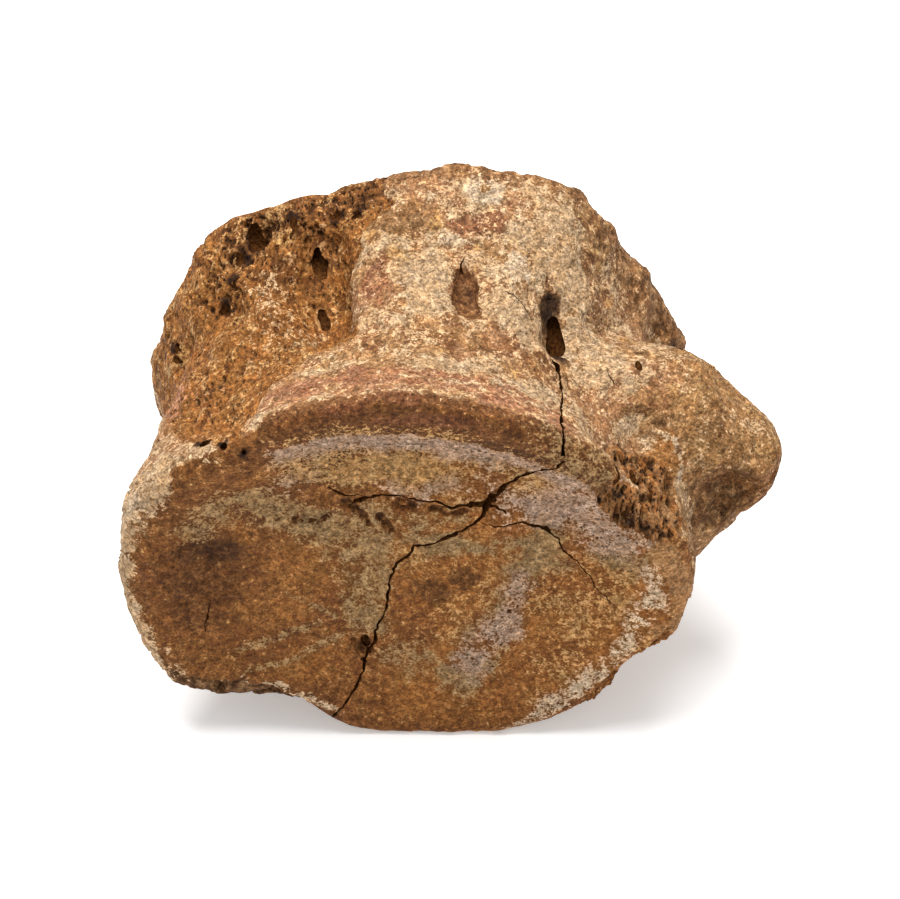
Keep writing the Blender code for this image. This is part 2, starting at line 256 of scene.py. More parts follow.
def ramp(value, low, high):
    """0 below low and 1 above high, smooth between."""
    t = np.clip((value - low) / (high - low), 0, 1)
    return t * t * (3 - 2 * t)


def along(value, table):
    """The second number of a table of pairs, at this value of the first."""
    table = np.array(sorted(table), float)
    return np.interp(value, table[:, 0], table[:, 1])


def distance_to(p, path):
    """Distance in mm from each point to a path of points."""
    path = np.array(path, float)
    best = np.full(len(p), 1e9)
    for a, b in zip(path[:-1], path[1:]):
        step = b - a
        t = np.clip((p - a) @ step / (step @ step), 0, 1)
        best = np.minimum(best, np.linalg.norm(p - a - t[:, None] * step, axis=1))
    return best


def near(p, path, radius, soft=0.5, ragged=0.0, seed=1):
    """1 close to a path and 0 beyond the radius, with a ragged edge."""
    distance = distance_to(p, path)
    if ragged:
        close = distance < radius + ragged
        distance[close] += ragged * fractal(p[close], 2.5, seed, 3)
    return 1 - ramp(distance, radius * (1 - soft), radius)


def blob(p, centre, radii, tilt=0.0, soft=0.5, ragged=0.45, seed=1):
    """1 inside an ellipsoid and 0 outside, with a ragged edge. Its x and z radii turn by tilt degrees."""
    q = p - np.array(centre, float)
    turn = math.radians(tilt)
    x = q[:, 0] * math.cos(turn) + q[:, 2] * math.sin(turn)
    z = q[:, 2] * math.cos(turn) - q[:, 0] * math.sin(turn)
    inside = np.sqrt((x / radii[0]) ** 2 + (q[:, 1] / radii[1]) ** 2 + (z / radii[2]) ** 2)
    close = inside < 1 + soft * 0.4 + ragged
    inside[close] += ragged * fractal(p[close], 4.0, seed, 4)
    return 1 - ramp(inside, 1 - soft, 1 + soft * 0.4)


def face_blob(p, x, z, a, c, tilt=0.0, **options):
    """A blob on the front face, however deep the face is there."""
    return blob(p, (x, 2, z), (a, 60, c), tilt, **options)


def face_line(p, points, radius, soft=0.6, ragged=2.0, seed=1):
    """1 close to a line of x, z points on the front face."""
    flat = np.column_stack([p[:, 0], np.zeros(len(p)), p[:, 2]])
    return near(flat, [(x, 0, z) for x, z in points], radius, soft, ragged, seed)


def top_blob(p, x, y, a, b, **options):
    """A blob on the top, however high the surface is there."""
    return blob(p, (x, y, 75), (a, b, 60), 0.0, **options)


def chip_mask(p):
    """1 where the chip broke out, 0 elsewhere."""
    return near(p, CHIP, 5.2, 0.22, 1.5, 21)


def reshape(p):
    """Move the points of the solid where the photograph shows more than it has."""
    slope = np.array(CHIP_SLOPE) / np.linalg.norm(CHIP_SLOPE)
    above = np.clip((p - np.array(CHIP_FLOOR)) @ slope, 0, None) * chip_mask(p)
    p = p - above[:, None] * slope
    for centre, radii, shift in (((57.5, 14, 44.5), (6.5, 12, 6.5), (0, 4.2, 0.8)),
                                 ((64, 16, 48.5), (4, 8, 4), (0.3, -1.0, 0.3)),
                                 ((62, 34, 58), (10, 16, 9), (-1.3, 0, -1.3)),
                                 ((-24, 55, 75), (7, 7, 8), (0, 0, 1.6)),
                                 ((-34, 50, 68), (5, 6, 6), (-0.8, 0, 1.0))):
        p = p + blob(p, centre, radii, 0.0, 0.9, 0.2, 29)[:, None] * np.array(shift, float)
    return p


def areas_of(p, n):
    """How much each point belongs to each kind of surface, from 0 to 1."""
    wander = fractal(p, 3.0, 11, 4)
    area = {}
    area["chip"] = chip_mask(p)
    below_right = along(p[:, 0], BORDER_RIGHT) - p[:, 2] + 0.9 * wander
    area["break"] = ramp(below_right, -0.2, 0.3) * ramp(p[:, 0], 16, 19) * ramp(-p[:, 0], -49, -46)
    below_left = along(p[:, 0], BORDER_LEFT) - p[:, 2] + 1.2 * wander
    area["break_left"] = ramp(below_left, -0.2, 0.4) * ramp(-p[:, 0], 13, 16) * ramp(p[:, 0], -48, -44)
    for name in ("break", "break_left"):
        area[name] *= ramp(-p[:, 1], -16, -11)
    broken = np.maximum(area["break"], area["break_left"])
    area["front"] = ramp(-n[:, 1], 0.45, 0.7) * ramp(-p[:, 1], -14, -8) * (1 - area["chip"]) * (1 - broken)
    area["rear"] = ramp(n[:, 1], 0.45, 0.7) * ramp(p[:, 1], 52, 58)
    edge = along(p[:, 1] + 1.2 * wander, SKIN_EDGE)
    left = ramp(edge - p[:, 0] + 1.4 * wander, -0.3, 0.3)
    behind = ramp(p[:, 1] - along(p[:, 0], RIM_BACK) + 3.5 * wander, -0.8, 0.8)
    above = ramp(p[:, 2] + 8 * wander, 34, 42)
    not_rear = 1 - ramp(area["rear"] + 0.5 * wander, 0.6, 0.95)
    area["sponge"] = left * behind * above * (1 - area["front"]) * not_rear
    coarse = np.maximum(near(p, COARSE_BONE[0], 9, 0.6, 3.0, 26), near(p, COARSE_BONE[1], 5, 0.5, 2.0, 27))
    area["coarse"] = np.clip(coarse + 0.35 * ramp(fractal(p, 8.0, 28, 2), 0.1, 0.4), 0, 1)
    # The underside of the process: rough bone, darkened in paint_skin partly with painted shade
    area["under"] = blob(p, (57.5, 15, 43.5), (8, 12, 9), seed=25)
    area["rough"] = np.maximum.reduce([
        near(p, REAR_RIM, 7.5, 0.6, 3.0, 22),
        broken,
        0.9 * area["under"],
    ])
    area["lip"] = ramp(p[:, 2] - along(p[:, 0], LIP_EDGE) + 1.4 * wander, -1.2, 0.8) * ramp(-p[:, 1], -5, -2)
    area["lip"] *= ramp(p[:, 0], -30, -23) * ramp(-p[:, 0], -38, -34) * (1 - area["chip"])
    # How open the bone is, which also sets the painted shade of its small pores in the material
    area["open"] = np.maximum.reduce([
        area["sponge"] * (0.6 + 0.4 * area["coarse"]),
        area["chip"],
        0.5 * area["rough"],
    ])
    area["skin"] = (1 - area["front"]) * (1 - area["rear"]) * (1 - area["sponge"]) * (1 - area["chip"])
    area["skin"] *= 1 - 0.6 * area["rough"]
    # Where the face is porous, which also sets the painted shade of small dark specks in the material
    lilac_zone = ((-18, 66), (-14, 69), (-2, 69.5), (9, 68.5), (20, 64), (26, 57), (33, 50), (38, 44))
    pores = np.maximum(face_line(p, lilac_zone, 8.5, 0.7, 3.0, 161),
                       face_line(p, ((10, 15), (14, 22), (18, 30), (21, 38)), 5.5, 0.6, 2.0, 162))
    area["porous"] = np.maximum(area["front"] * pores, 0.5 * area["skin"])
    return area


def flakes(p):
    """Where thin flakes of the skin have come off: 1 in the bare patches, 0 on the skin."""
    name = cells(p + 4.5 * drift(p, 4.0, 31), 7.0, 35)[1]
    return ramp(name + 0.6 * fractal(p, 1.8, 37, 3), 0.54, 0.6)


def relief(p, area, bare):
    """How far each point moves along its normal, in mm, and how deep in a pore or hollow it lies, from 0 to
    1, which sets the painted shade there.
    """
    skin = area["skin"]
    face = np.maximum(area["front"], area["rear"])
    streak = fractal(p, 1.5, 43, 3, (0.8, 2.6, 1.6))
    height = skin * (0.4 * fractal(p, 5.5, 41, 3) + 0.2 * fractal(p, 1.5, 45, 2) + 0.16 * streak - 0.4 * bare)
    height += face * (0.3 * fractal(p, 11.0, 47, 4) + 0.17 * fractal(p, 1.7, 51, 3))
    scaly = np.maximum.reduce([
        face_blob(p, -38, 38, 9, 13, seed=61),
        face_blob(p, 3.8, 34.5, 5.5, 4, seed=62),
        face_blob(p, 10.5, 38.6, 3.5, 3, seed=63),
        0.7 * ramp(-p[:, 0], 40, 46),
    ])
    height += face * scaly * 0.5 * (np.abs(fractal(p, 2.0, 64, 3)) * 2 - 0.5)

    warp = drift(p, 2.4, 71)
    small, small_name = cells(p + 1.0 * warp, 1.5, 75, (0.85, 1.5, 1.15))
    pits = (1 - ramp(small, 0.15, 0.6)) * ramp(small_name + 0.5 * area["coarse"], 0.5, 0.8)
    large, large_name = cells(p + 2.0 * warp, 3.0, 81, (0.75, 1.3, 1.0))
    holes = (1 - ramp(large, 0.1, 0.4)) * ramp(large_name + 0.4 * area["coarse"], 1.04, 1.1)
    struts = fractal(p + 0.6 * warp, 1.2, 85, 2, (0.75, 2.0, 1.3))
    lumps = fractal(p, 5.0, 87, 4)
    sponge = area["sponge"]
    pits *= 0.4 + 0.6 * area["coarse"]
    height += sponge * (0.8 * lumps + (0.4 + 0.2 * area["coarse"]) * struts - 1.1 * pits - 1.3 * holes - 0.5)

    slit, slit_name = cells(p + 0.5 * warp, 1.5, 91, (0.75, 1.8, 2.4))
    slits = (1 - ramp(slit, 0.2, 0.6)) * ramp(slit_name, 0.05, 0.25)
    deep = fractal(p, 3.6, 95, 2, (0.5, 1.6, 2.0))
    height += area["chip"] * (0.4 - 1.6 * slits - 1.6 * ramp(deep, 0.1, 0.4) + 0.5 * fractal(p, 5.0, 96, 3))

    rough = area["rough"] * (1 - sponge) * (1 - area["chip"])
    height += rough * (0.75 * fractal(p, 3.2, 97, 4) - 0.6 * pits)
    layers = np.abs((along(p[:, 0], BORDER_RIGHT) - p[:, 2] + 0.8 * fractal(p, 4.0, 98, 3)) % 1.8 - 0.9)
    height -= area["break"] * (0.5 + 0.9 * layers)
    height -= area["break_left"] * (0.7 + 1.2 * ramp(fractal(p, 3.0, 98, 3), 0.0, 0.3))

    *path, radius, depth = FORAMEN
    height -= depth * near(p, path, radius, 0.5, 1.3, 99)
    *path, radius, depth = FACE_PIT
    pit = near(p, path, radius, 0.7, 1.8, 90)
    height -= depth * pit
    scars = np.zeros(len(p))
    for path in SCARS:
        scars = np.maximum(scars, area["front"] * face_line(p, path, 0.8, 0.5, 1.1, 89))
    scars *= ramp(fractal(p, 1.1, 84, 2), -0.5, 0.1)
    height -= 0.8 * scars
    spot, spot_name = cells(p + 0.3 * warp, 1.3, 82)
    spots = (1 - ramp(spot, 0.15, 0.4)) * ramp(spot_name, 0.4, 0.6)
    spots *= area["front"] * face_line(p, ((13, 21), (17, 28), (20, 35)), 4.5, 0.9, 1.5, 81)
    height -= 0.4 * spots
    crevice = near(p, ((25, 46, 77), (25, 42, 75), (26, 39, 73.5)), 1.6, 0.7, 1.0, 88)
    height -= 1.4 * crevice

    # How deep in a hole, pit or slit each point lies, which sets the painted shade washed into it
    pore = sponge * np.maximum(0.9 * pits, holes)
    pore += area["chip"] * np.maximum(0.9 * slits, ramp(deep, 0.1, 0.4))
    pore += 0.8 * rough * pits
    for hole in HOLES:
        middle = [point[:3] for point in hole]
        widest = max(point[3] for point in hole)
        pore = np.maximum(pore, near(p, middle, widest + 0.5, 0.5, 1.0, 93))
    pore = np.maximum.reduce([pore, 0.9 * pit, 0.75 * scars, 0.6 * crevice, 0.85 * spots])
    return height, np.clip(pore, 0, 1)


class Coats:
    """The colours of the bone's points: a tint, and a crust whose cover the material breaks into grains."""

    def __init__(self, p):
        self.grain = fractal(p, 1.5, 901, 3)
        self.patchy = fractal(p + 2.0 * drift(p, 4.0, 903), 4.5, 902, 4)
        self.tint = np.tile(linear(TAN), (len(p), 1))
        self.crust = self.tint.copy()
        self.cover = np.zeros(len(p))

    def paint(self, colour, mask, strength=1.0):
        """Lay a tint on where the mask is over about a half."""
        weight = strength * ramp(mask + 1.5 * self.grain * mask * (1.15 - mask), 0.2, 0.75)
        self.cover = self.cover * (1 - 0.8 * weight)
        self.wash(colour, weight)

    def dust(self, colour, mask, strength=1.0):
        """Lay a crust on, that covers as many of the grains as the mask says."""
        weight = np.clip(strength * mask * (0.95 + 0.5 * self.grain + 0.7 * self.patchy), 0, 1)
        self.cover = np.maximum(self.cover * (1 - 0.5 * weight), weight)
        share = (weight / np.maximum(self.cover, 0.01))[:, None]
        self.crust = self.crust * (1 - share) + linear(colour) * share

    def wash(self, colour, weight):
        """Lay a colour on as thinly as the weight says."""
        weight = np.clip(weight, 0, 1)[:, None]
        self.tint = self.tint * (1 - weight) + linear(colour) * weight


def paint_front(coats, p, area):
    """The front face: orange-brown crust with grey, lilac and ochre patches and pale scratches; a brown band
    under the crest that is partly painted shade, and painted highlights on the left rim and the lower-left
    edge.
    """
    front = area["front"]
    q = p + 2.5 * drift(p, 5.0, 100)
    mottle = fractal(q, 7.0, 101, 5)

    def patch(x, z, a, c, seed, tilt=0.0):
        return front * face_blob(q, x, z, a, c, tilt, seed=seed, soft=0.9, ragged=0.5)

    def band(path, radius, seed, soft=0.9):
        return front * face_line(q, path, radius, soft, seed=seed)

    coats.paint(RUST, front)
    coats.wash(ORANGE, 0.8 * front * ramp(mottle, -0.15, 0.4))
    coats.wash(BROWN, 0.4 * front * ramp(-mottle, 0.0, 0.4))
    coats.wash(BROWN, front * 0.6 * ramp(-p[:, 0] + 5 * mottle, -4, 22))
    coats.wash(BROWN, front * 0.35 * ramp(-p[:, 2] + 4 * mottle, -14, -4))
    speckled = ramp(fractal(q, 9.0, 93, 4), -0.25, 0.25) * ramp(p[:, 0] + 5 * mottle, -30, 5)
    coats.dust(OCHRE, front * (0.1 + 0.35 * speckled))
    coats.dust(GREY, band(((-38, 50), (-34, 55), (-27, 55), (-20, 51), (-12, 48)), 7.5, 105), 0.75)
    coats.dust(GREY, band(((-7, 52), (-8, 44), (-9, 36), (-8, 28)), 7.5, 106), 0.7)
    coats.dust(GREY, band(((-14, 44), (-11, 36), (-8, 32)), 3, 97), 0.6)
    coats.dust(GREY, patch(37, 43, 10, 9, 107, -20), 0.85)
    coats.dust(GREY, band(((0, 46.5), (9, 45.5), (20, 44.5), (28, 41)), 4.5, 104), 0.8)
    coats.dust(GREY, patch(-1, 18, 9, 7, 102), 0.6)
    under_lip = ((-20, 65), (-14, 69), (-2, 69.5), (9, 68.5), (20, 65), (30, 58), (37, 50))
    coats.dust(LILAC, band(under_lip, 9, 108, 0.7))
    coats.dust(LILAC, patch(25, 55.5, 14, 8, 109, -35))
    coats.dust(LILAC, patch(3, 59.5, 14, 4, 103), 0.8)
    coats.dust(OCHRE, patch(-6, 63.3, 21, 5.2, 110, -3), 0.95)
    coats.dust(OCHRE, patch(20, 60, 6, 3.5, 99), 0.6)
    coats.dust(GREY, patch(3, 52, 11, 3.6, 111, 8), 0.8)
    coats.dust(GREY, band(((9, 13), (13, 21), (17, 29), (21, 38), (24, 45)), 7.5, 112), 0.95)
    coats.dust(LILAC, band(((11, 17), (15, 24), (18, 30), (20, 35)), 5, 94, 0.8), 0.8)
    for x, z, a, c, tilt in ((-20, 40, 10, 8, 0), (5, 37, 9, 7, 10), (14, 42, 6, 3.5, 25),
                             (27, 29, 7, 11, 0), (-30, 48.5, 5, 3.5, 0), (-27, 62, 5, 4, 0),
                             (-24, 31, 9, 6, 20), (7, 8, 15, 6, 0), (-20, 17, 10, 4, 15),
                             (37, 50, 5, 3.5, 0), (4, 52.5, 7, 2, 8)):
        coats.paint(ORANGE, 0.8 * patch(x, z, a, c, 114, tilt), 0.5)
    coats.dust(OCHRE, patch(37, 34, 7, 7, 92), 0.7)
    coats.paint(DARK_BROWN, 0.9 * patch(-38.5, 37, 10, 14, 103), 0.45)
    for x, z, a, c in ((3.8, 34.5, 5, 4), (10.2, 38.4, 3.2, 2.6), (-33, 44, 4.5, 4), (-37, 46, 6, 4)):
        coats.paint(DARK_BROWN, front * face_blob(p, x, z, a, c, seed=115, soft=0.9, ragged=0.9), 0.6)
    for path in (((-34, 20.3), (-27, 22.6), (-17, 27.3)), ((-30, 16.4), (-22, 18.4), (-13, 24.6)),
                 ((-23, 34.5), (-14, 29))):
        coats.dust(GREY, front * face_line(p, path, 1.5, 0.9, 0.5, 116), 0.62)
    coats.dust(OCHRE, patch(29, 30, 8, 12, 83), 0.5)
    right_edge = ((43, 40), (44.5, 33), (41, 26), (35, 17.5), (30.5, 11), (26, 7), (19, 2))
    ridge = face_line(q, right_edge, 3.6, 0.9, 1.2, 117)
    coats.dust(LILAC, front * ridge, 0.75)
    coats.dust(WHITISH, front * ridge ** 2, 0.6)
    coats.paint(RUST, front * face_blob(q, 45, 30, 3, 2.6, -40, seed=87), 0.8)
    # A whitish line along the broken lower-left edge, partly pale streaks and partly a painted highlight on
    # that edge
    low_edge = ((-30, 14.5), (-22, 12), (-18, 9.5), (-15, 5))
    coats.dust(WHITISH, front * face_line(q, low_edge, 1.9, 0.8, 1.0, 118), 0.7)
    # The band under the crest: its browns are partly its own colour and partly painted shade of the slope
    # that faces down
    lip = area["lip"]
    coats.paint(BROWN, lip, 0.9)
    coats.dust(OCHRE, lip * ramp(-p[:, 2] + along(p[:, 0], LIP_EDGE) + 5, 0, 5), 0.5)
    coats.dust(GREY, lip * ramp(p[:, 0], 14, 28), 0.6)
    reddish = ramp(fractal(p, 4.0, 119, 3, (3, 1, 1)), -0.1, 0.3) * ramp(-p[:, 0], -24, -14)
    coats.paint(RED_BROWN, lip * reddish, 0.5)
    coats.paint(DARK_BROWN, lip * face_line(p, ((10, 70.6), (17, 69.4), (23, 67.4)), 1.6, 0.7, 0.8, 120), 0.6)
    # The rounded left rim: tan and cream, partly its own colour and partly a painted highlight; the whitish
    # line is a painted highlight
    rim_path = ((-46, 4, 62), (-51, 4, 54), (-54, 4, 45), (-53.5, 4, 33), (-50.5, 4, 21), (-46, 4, 15))
    rim = near(p, rim_path, 6.5, 0.6, 1.8, 119)
    coats.paint(TAN, rim, 0.9)
    coats.dust(CREAM, rim * ramp(fractal(p, 2.6, 120, 3), -0.8, 0.2), 1.3)
    coats.dust(WHITISH, near(p, ((-50, 2, 57), (-53, 3, 50), (-54, 4, 44)), 3.5, 0.8, 1.0, 86))
    coats.dust(CREAM, blob(p, (-34, 5, 67.5), (6, 5, 4), seed=122, ragged=0.6), 0.7)
    coats.paint(TAN, near(p, ((45, 1, 46), (48.5, 2, 40), (49, 2, 30), (46, 2, 26)), 3.5, 0.6, 1.5, 124), 0.7)


def paint_rear(coats, p, area):
    """The rear face, which the photograph doesn't show, in the same colours as the front one."""
    rear = area["rear"]
    q = p + 2.5 * drift(p, 5.0, 100)
    mottle = fractal(q, 9.0, 121, 5)
    coats.paint(RUST, rear)
    coats.wash(ORANGE, 0.8 * rear * ramp(mottle, -0.15, 0.4))
    coats.wash(BROWN, 0.5 * rear * ramp(-mottle, 0.0, 0.4))
    coats.dust(OCHRE, rear * (0.1 + 0.6 * ramp(fractal(q, 10.0, 125, 4), -0.1, 0.3)))
    coats.dust(GREY, rear * ramp(fractal(q, 16.0, 122, 5), -0.1, 0.6), 0.7)
    coats.dust(LILAC, rear * ramp(fractal(q, 20.0, 121, 5, (1.6, 1, 0.8)), 0.0, 0.7), 0.7)
    coats.paint(DARK_BROWN, rear * blob(q, (-14, 64, 30), (10, 20, 7), seed=123), 0.5)
    worn_edge = ((-46, 63, 60), (-52, 63, 44), (-46, 63, 22), (-20, 63, 6), (12, 63, 4), (40, 63, 14))
    coats.dust(CREAM, near(p, worn_edge, 7, 0.8, 2.5, 80), 0.7)


def paint_skin(coats, p, n, area, bare):
    """The outer skin: cream and tan, red-brown bare patches, and a pink streaked band behind the crest;
    painted shade where the skin faces down and under the process, and a painted highlight along the crest.
    """
    skin = area["skin"]
    q = p + 2.0 * drift(p, 4.0, 130)
    mottle = fractal(q, 5.0, 131, 5)
    fine = fractal(p, 1.2, 135, 3, (1, 2.2, 1.4))
    coats.wash(PINK, 0.45 * skin * ramp(fractal(q, 9.0, 127, 3), -0.2, 0.3))
    coats.paint(BROWN, skin * ramp(-mottle + 0.5 * fine, 0.2, 0.5), 0.4)
    coats.paint(RED_BROWN, skin * bare * ramp(fine, -0.2, 0.3), 0.4)
    process = ramp(p[:, 0], 42, 52)
    coats.dust(CREAM, skin * ramp(mottle + 0.3 * fine, -0.45, 0.25) * (1 - 0.5 * process), 0.7)
    coats.dust(OCHRE, skin * ramp(fractal(q, 4.0, 134, 3), 0.2, 0.45), 0.5)
    for x, y, a, b in ((2.9, 38, 5.6, 8.5), (17.5, 32.5, 5.6, 5.6), (3.5, 16, 6.5, 2.4),
                       (28, 47, 6, 9), (24, 14, 5, 6), (35, 30, 5, 8), (20, 48, 4, 4)):
        coats.dust(CREAM, skin * top_blob(q, x, y, a, b, seed=136, soft=0.3))
    for x, y, a, b in ((13.4, 57, 3.4, 3.6), (19.5, 41, 2.7, 2.8), (8, 46, 3, 1.6)):
        coats.dust(WHITISH, skin * top_blob(q, x, y, a, b, seed=133, soft=0.3))
    coats.paint(OCHRE, skin * top_blob(q, 13.4, 57, 1.5, 1.7, seed=126), 0.8)
    for x, y, a, b in ((-6.3, 39, 3.8, 6.5), (11.4, 49.5, 5.6, 3), (-20, 11, 5, 4), (-12, 12, 6, 3)):
        flaked = top_blob(q, x, y, a, b, seed=137, ragged=0.6)
        coats.paint(RED_BROWN, skin * flaked * ramp(fine, -0.7, 0.2), 0.65)
    coats.paint(GREY_BROWN, skin * top_blob(q, -2.7, 50.5, 6.2, 3.8, seed=128, soft=0.3), 0.85)
    grainy = near(p, ((-6, 24, 74), (8, 23.5, 74), (24, 24, 70)), 5.0, 0.6, 2.0, 138)
    coats.paint(BROWN, skin * grainy * ramp(fine, -0.5, 0.2), 0.6)
    streaks = fractal(p, 1.3, 139, 3, (6, 1, 1))
    pink = near(p, ((-22, 10, 74), (-8, 9, 77), (8, 9, 77), (24, 9, 73)), 7.5, 0.5, 2.0, 141)
    coats.paint(PINK, skin * pink * ramp(streaks, -0.3, 0.05), 0.7)
    coats.paint(RED_BROWN, skin * pink * ramp(streaks, 0.1, 0.35), 0.5)
    # Cream streaks along the crest of the front rim, partly the bone's own and partly a painted highlight on
    # the crest
    crest_path = ((-30, 3, 72), (-19, 4, 79), (-5, 5, 81), (8, 5, 81), (21, 4, 76.5), (31, 2.5, 69.5))
    crest = near(p, crest_path, 2.0, 0.7, 0.8, 129)
    coats.dust(CREAM, crest * ramp(streaks, -0.5, 0.1) * ramp(p[:, 0], -30, -5), 0.65)
    coats.wash(OCHRE, 0.5 * skin * process)
    coats.paint(BROWN, skin * process * ramp(fractal(q, 4.0, 143, 4), -0.1, 0.3), 0.4)
    coats.wash(RUST, 0.7 * skin * near(p, ((65, 20, 46), (63, 24, 41)), 7, 0.7, 2.0, 145))
    coats.paint(ORANGE, blob(p, (46.5, 16, 55), (3.2, 5, 4.5), seed=146), 0.7)
    sheet = ((43.5, 19, 59), (48, 18, 57.5), (49.6, 16, 54), (48.6, 14, 51))
    coats.dust(WHITISH, near(p, sheet, 1.1, 0.7, 0.6, 147), 0.9)
    coats.dust(CREAM, near(p, ((49.8, 13, 50), (51.4, 14, 44), (51.6, 12, 36)), 2.6, 0.6, 1.2, 148), 0.9)
    # Painted shade: skin that faces down is washed brown
    under = ramp(-n[:, 2], -0.15, 0.5)
    coats.wash(BROWN, skin * 0.5 * under)
    # Partly dark rough bone and partly painted shade: dark brown speckles on the underside of the process
    coats.paint(DARK_BROWN, area["under"] * ramp(fine, -0.7, 0.3), 0.5)


def paint_open(coats, p, area, pore):
    """The open spongy bone: orange-brown, darker in its pores, where the darkening is painted shade, as it is
    in the chip's slits and the other hollows.
    """
    q = p + 2.0 * drift(p, 4.0, 150)
    spread_out = fractal(q, 6.0, 151, 5)
    fine = fractal(p, 1.1, 155, 3, (0.75, 2.0, 1.3))
    sponge = area["sponge"]
    coats.paint(SPONGE, sponge)
    coats.wash(BROWN, sponge * 0.6 * ramp(-spread_out + 0.6 * fine, 0.05, 0.5))
    coats.dust(OCHRE, sponge * ramp(spread_out + 0.8 * fine, -0.4, 0.5), 0.6)
    coats.dust(TAN, sponge * ramp(fine - 0.2 * spread_out, 0.1, 0.5), 0.6)
    rear_edge = near(p, ((-33, 57, 76), (-18, 61, 82), (-5, 62, 85)), 7, 0.5, 2.0, 157)
    coats.wash(BROWN, sponge * 0.6 * rear_edge)
    groove = near(p, ((-13.5, 50, 79), (-13, 40, 76), (-11, 30, 74)), 4, 0.6, 1.0, 158)
    coats.paint(RUST, sponge * groove, 0.75)
    coats.dust(CREAM, sponge * near(p, ((-27, 44, 71), (-24, 36, 70), (-20, 34, 71)), 7, 0.9, 2.0, 159), 0.35)
    coats.dust(PINK, sponge * near(p, ((-43, 28, 58), (-46, 24, 52)), 7, 0.9, 2.0, 160), 0.6)
    coats.paint(RUST, area["chip"])
    coats.wash(TAN, 0.75 * area["chip"] * ramp(fine, -0.3, 0.3))
    coats.paint(BROWN, area["rough"] * (1 - sponge) * ramp(fine, -0.4, 0.3), 0.6)
    coats.paint(DARK_BROWN, area["break_left"] * ramp(fine, -0.6, 0.2), 0.7)
    coats.paint(RUST, area["break"], 0.9)
    coats.dust(OCHRE, area["break"] * ramp(fine, 0.0, 0.5), 0.6)
    # Painted shade: the crust is taken off in pores, holes, pits, slits, scars and the crevice, and they are
    # washed near black
    coats.cover = coats.cover * (1 - ramp(pore, 0.1, 0.5))
    coats.wash(CRACK_AND_PORE_SHADE, 0.92 * pore)


def tint_of(p, n, area, bare, pore):
    """The tint and the crust of the bone at each point, and how much the crust covers."""
    coats = Coats(p)
    paint_skin(coats, p, n, area, bare)
    paint_front(coats, p, area)
    paint_rear(coats, p, area)
    *path, radius, _ = FORAMEN
    coats.paint(BROWN, near(p, path, radius + 0.4, 0.4, 1.3, 99), 0.8)
    coats.dust(GREY_BROWN, near(p, path, radius, 0.4, 1.3, 99), 0.3)
    coats.paint(DARK_BROWN, near(p, path, radius, 0.9, 1.0, 97) * ramp(coats.grain, -0.2, 0.2), 0.7)
    paint_open(coats, p, area, pore)
    tongue = near(p, ((29.4, 37, 70.6), (29, 34, 68.6), (28.6, 31.5, 67.4)), 1.8, 0.5, 0.6, 85)
    coats.dust(CREAM, tongue, 1.2)
    return coats.tint * SHADE, coats.crust * SHADE, coats.cover


def points_of(mesh):
    """The mesh's points as an array, in metres."""
    points = np.empty(len(mesh.vertices) * 3)
    mesh.vertices.foreach_get("co", points)
    return points.reshape(-1, 3)


def normals_of(mesh):
    """The mesh's point normals as an array."""
    normals = np.empty(len(mesh.vertices) * 3)
    mesh.vertex_normals.foreach_get("vector", normals)
    return normals.reshape(-1, 3)


def to_world(point):
    """A point in mm from the axis and front face, as metres in the scene."""
    return [(point[0] + AXIS_X) / 1000, (point[1] + FRONT_Y) / 1000, point[2] / 1000]


def from_world(points):
    """Points in metres as mm from the axis and front face."""
    return points * 1000 - np.array([AXIS_X, FRONT_Y, 0])


def apply_modifiers(obj):
    """Make what the object's modifiers show its own mesh."""
    graph = bpy.context.evaluated_depsgraph_get()
    mesh = bpy.data.meshes.new_from_object(obj.evaluated_get(graph), depsgraph=graph)
    old = obj.data
    obj.modifiers.clear()
    obj.data = mesh
    bpy.data.meshes.remove(old)


def remesh(obj, size_mm, rounds):
    """Give the object an even mesh of that size, and smooth it."""
    grid = obj.modifiers.new("even", "REMESH")
    grid.mode = "VOXEL"
    grid.voxel_size = size_mm / 1000
    smooth = obj.modifiers.new("smooth", "SMOOTH")
    smooth.iterations = rounds
    apply_modifiers(obj)


def loft(mesh, rows):
    """Add a closed skin through rows of points to a mesh."""
    rings = [[mesh.verts.new(Vector(to_world(point))) for point in row] for row in rows]
    mesh.faces.new(reversed(rings[0]))
    mesh.faces.new(rings[-1])
    for a, b in zip(rings[:-1], rings[1:]):
        for k in range(len(a)):
            after = (k + 1) % len(a)
            mesh.faces.new((a[k], a[after], b[after], b[k]))


def blade_rows(path, inward, depth, seed):
    """Rows of a thin jagged wedge along points x, y, z and half width, that cuts a crack into the bone."""
    path = np.array(path, float)
    points = []
    for a, b in zip(path[:-1], path[1:]):
        count = max(1, round(np.linalg.norm(b[:3] - a[:3]) / CUTTER_STEP))
        points += [a + (b - a) * k / count for k in range(count)]
    points = np.array(points + [path[-1]])
    inward = np.array(inward, float) / np.linalg.norm(inward)
    course = np.gradient(points[:, :3], axis=0)
    side = np.cross(course, inward)
    side /= np.linalg.norm(side, axis=1, keepdims=True)
    rng = np.random.default_rng(seed)
    shake = rng.uniform(-0.2, 0.2, len(points)) + 0.4 * noise(points[:, :3], 3.1, seed + 1)
    width = points[:, 3] * rng.uniform(0.45, 1.6, len(points))
    middle = points[:, :3] + side * shake[:, None]
    rows = []
    for k in range(len(points)):
        out = middle[k] - inward * CUTTER_RISE
        low = middle[k] + inward * depth
        wide = side[k] * max(width[k], 0.05) * (1 + CUTTER_RISE / depth)
        rows.append([out - wide, out + wide, low + side[k] * 0.03, low - side[k] * 0.03])
    return rows


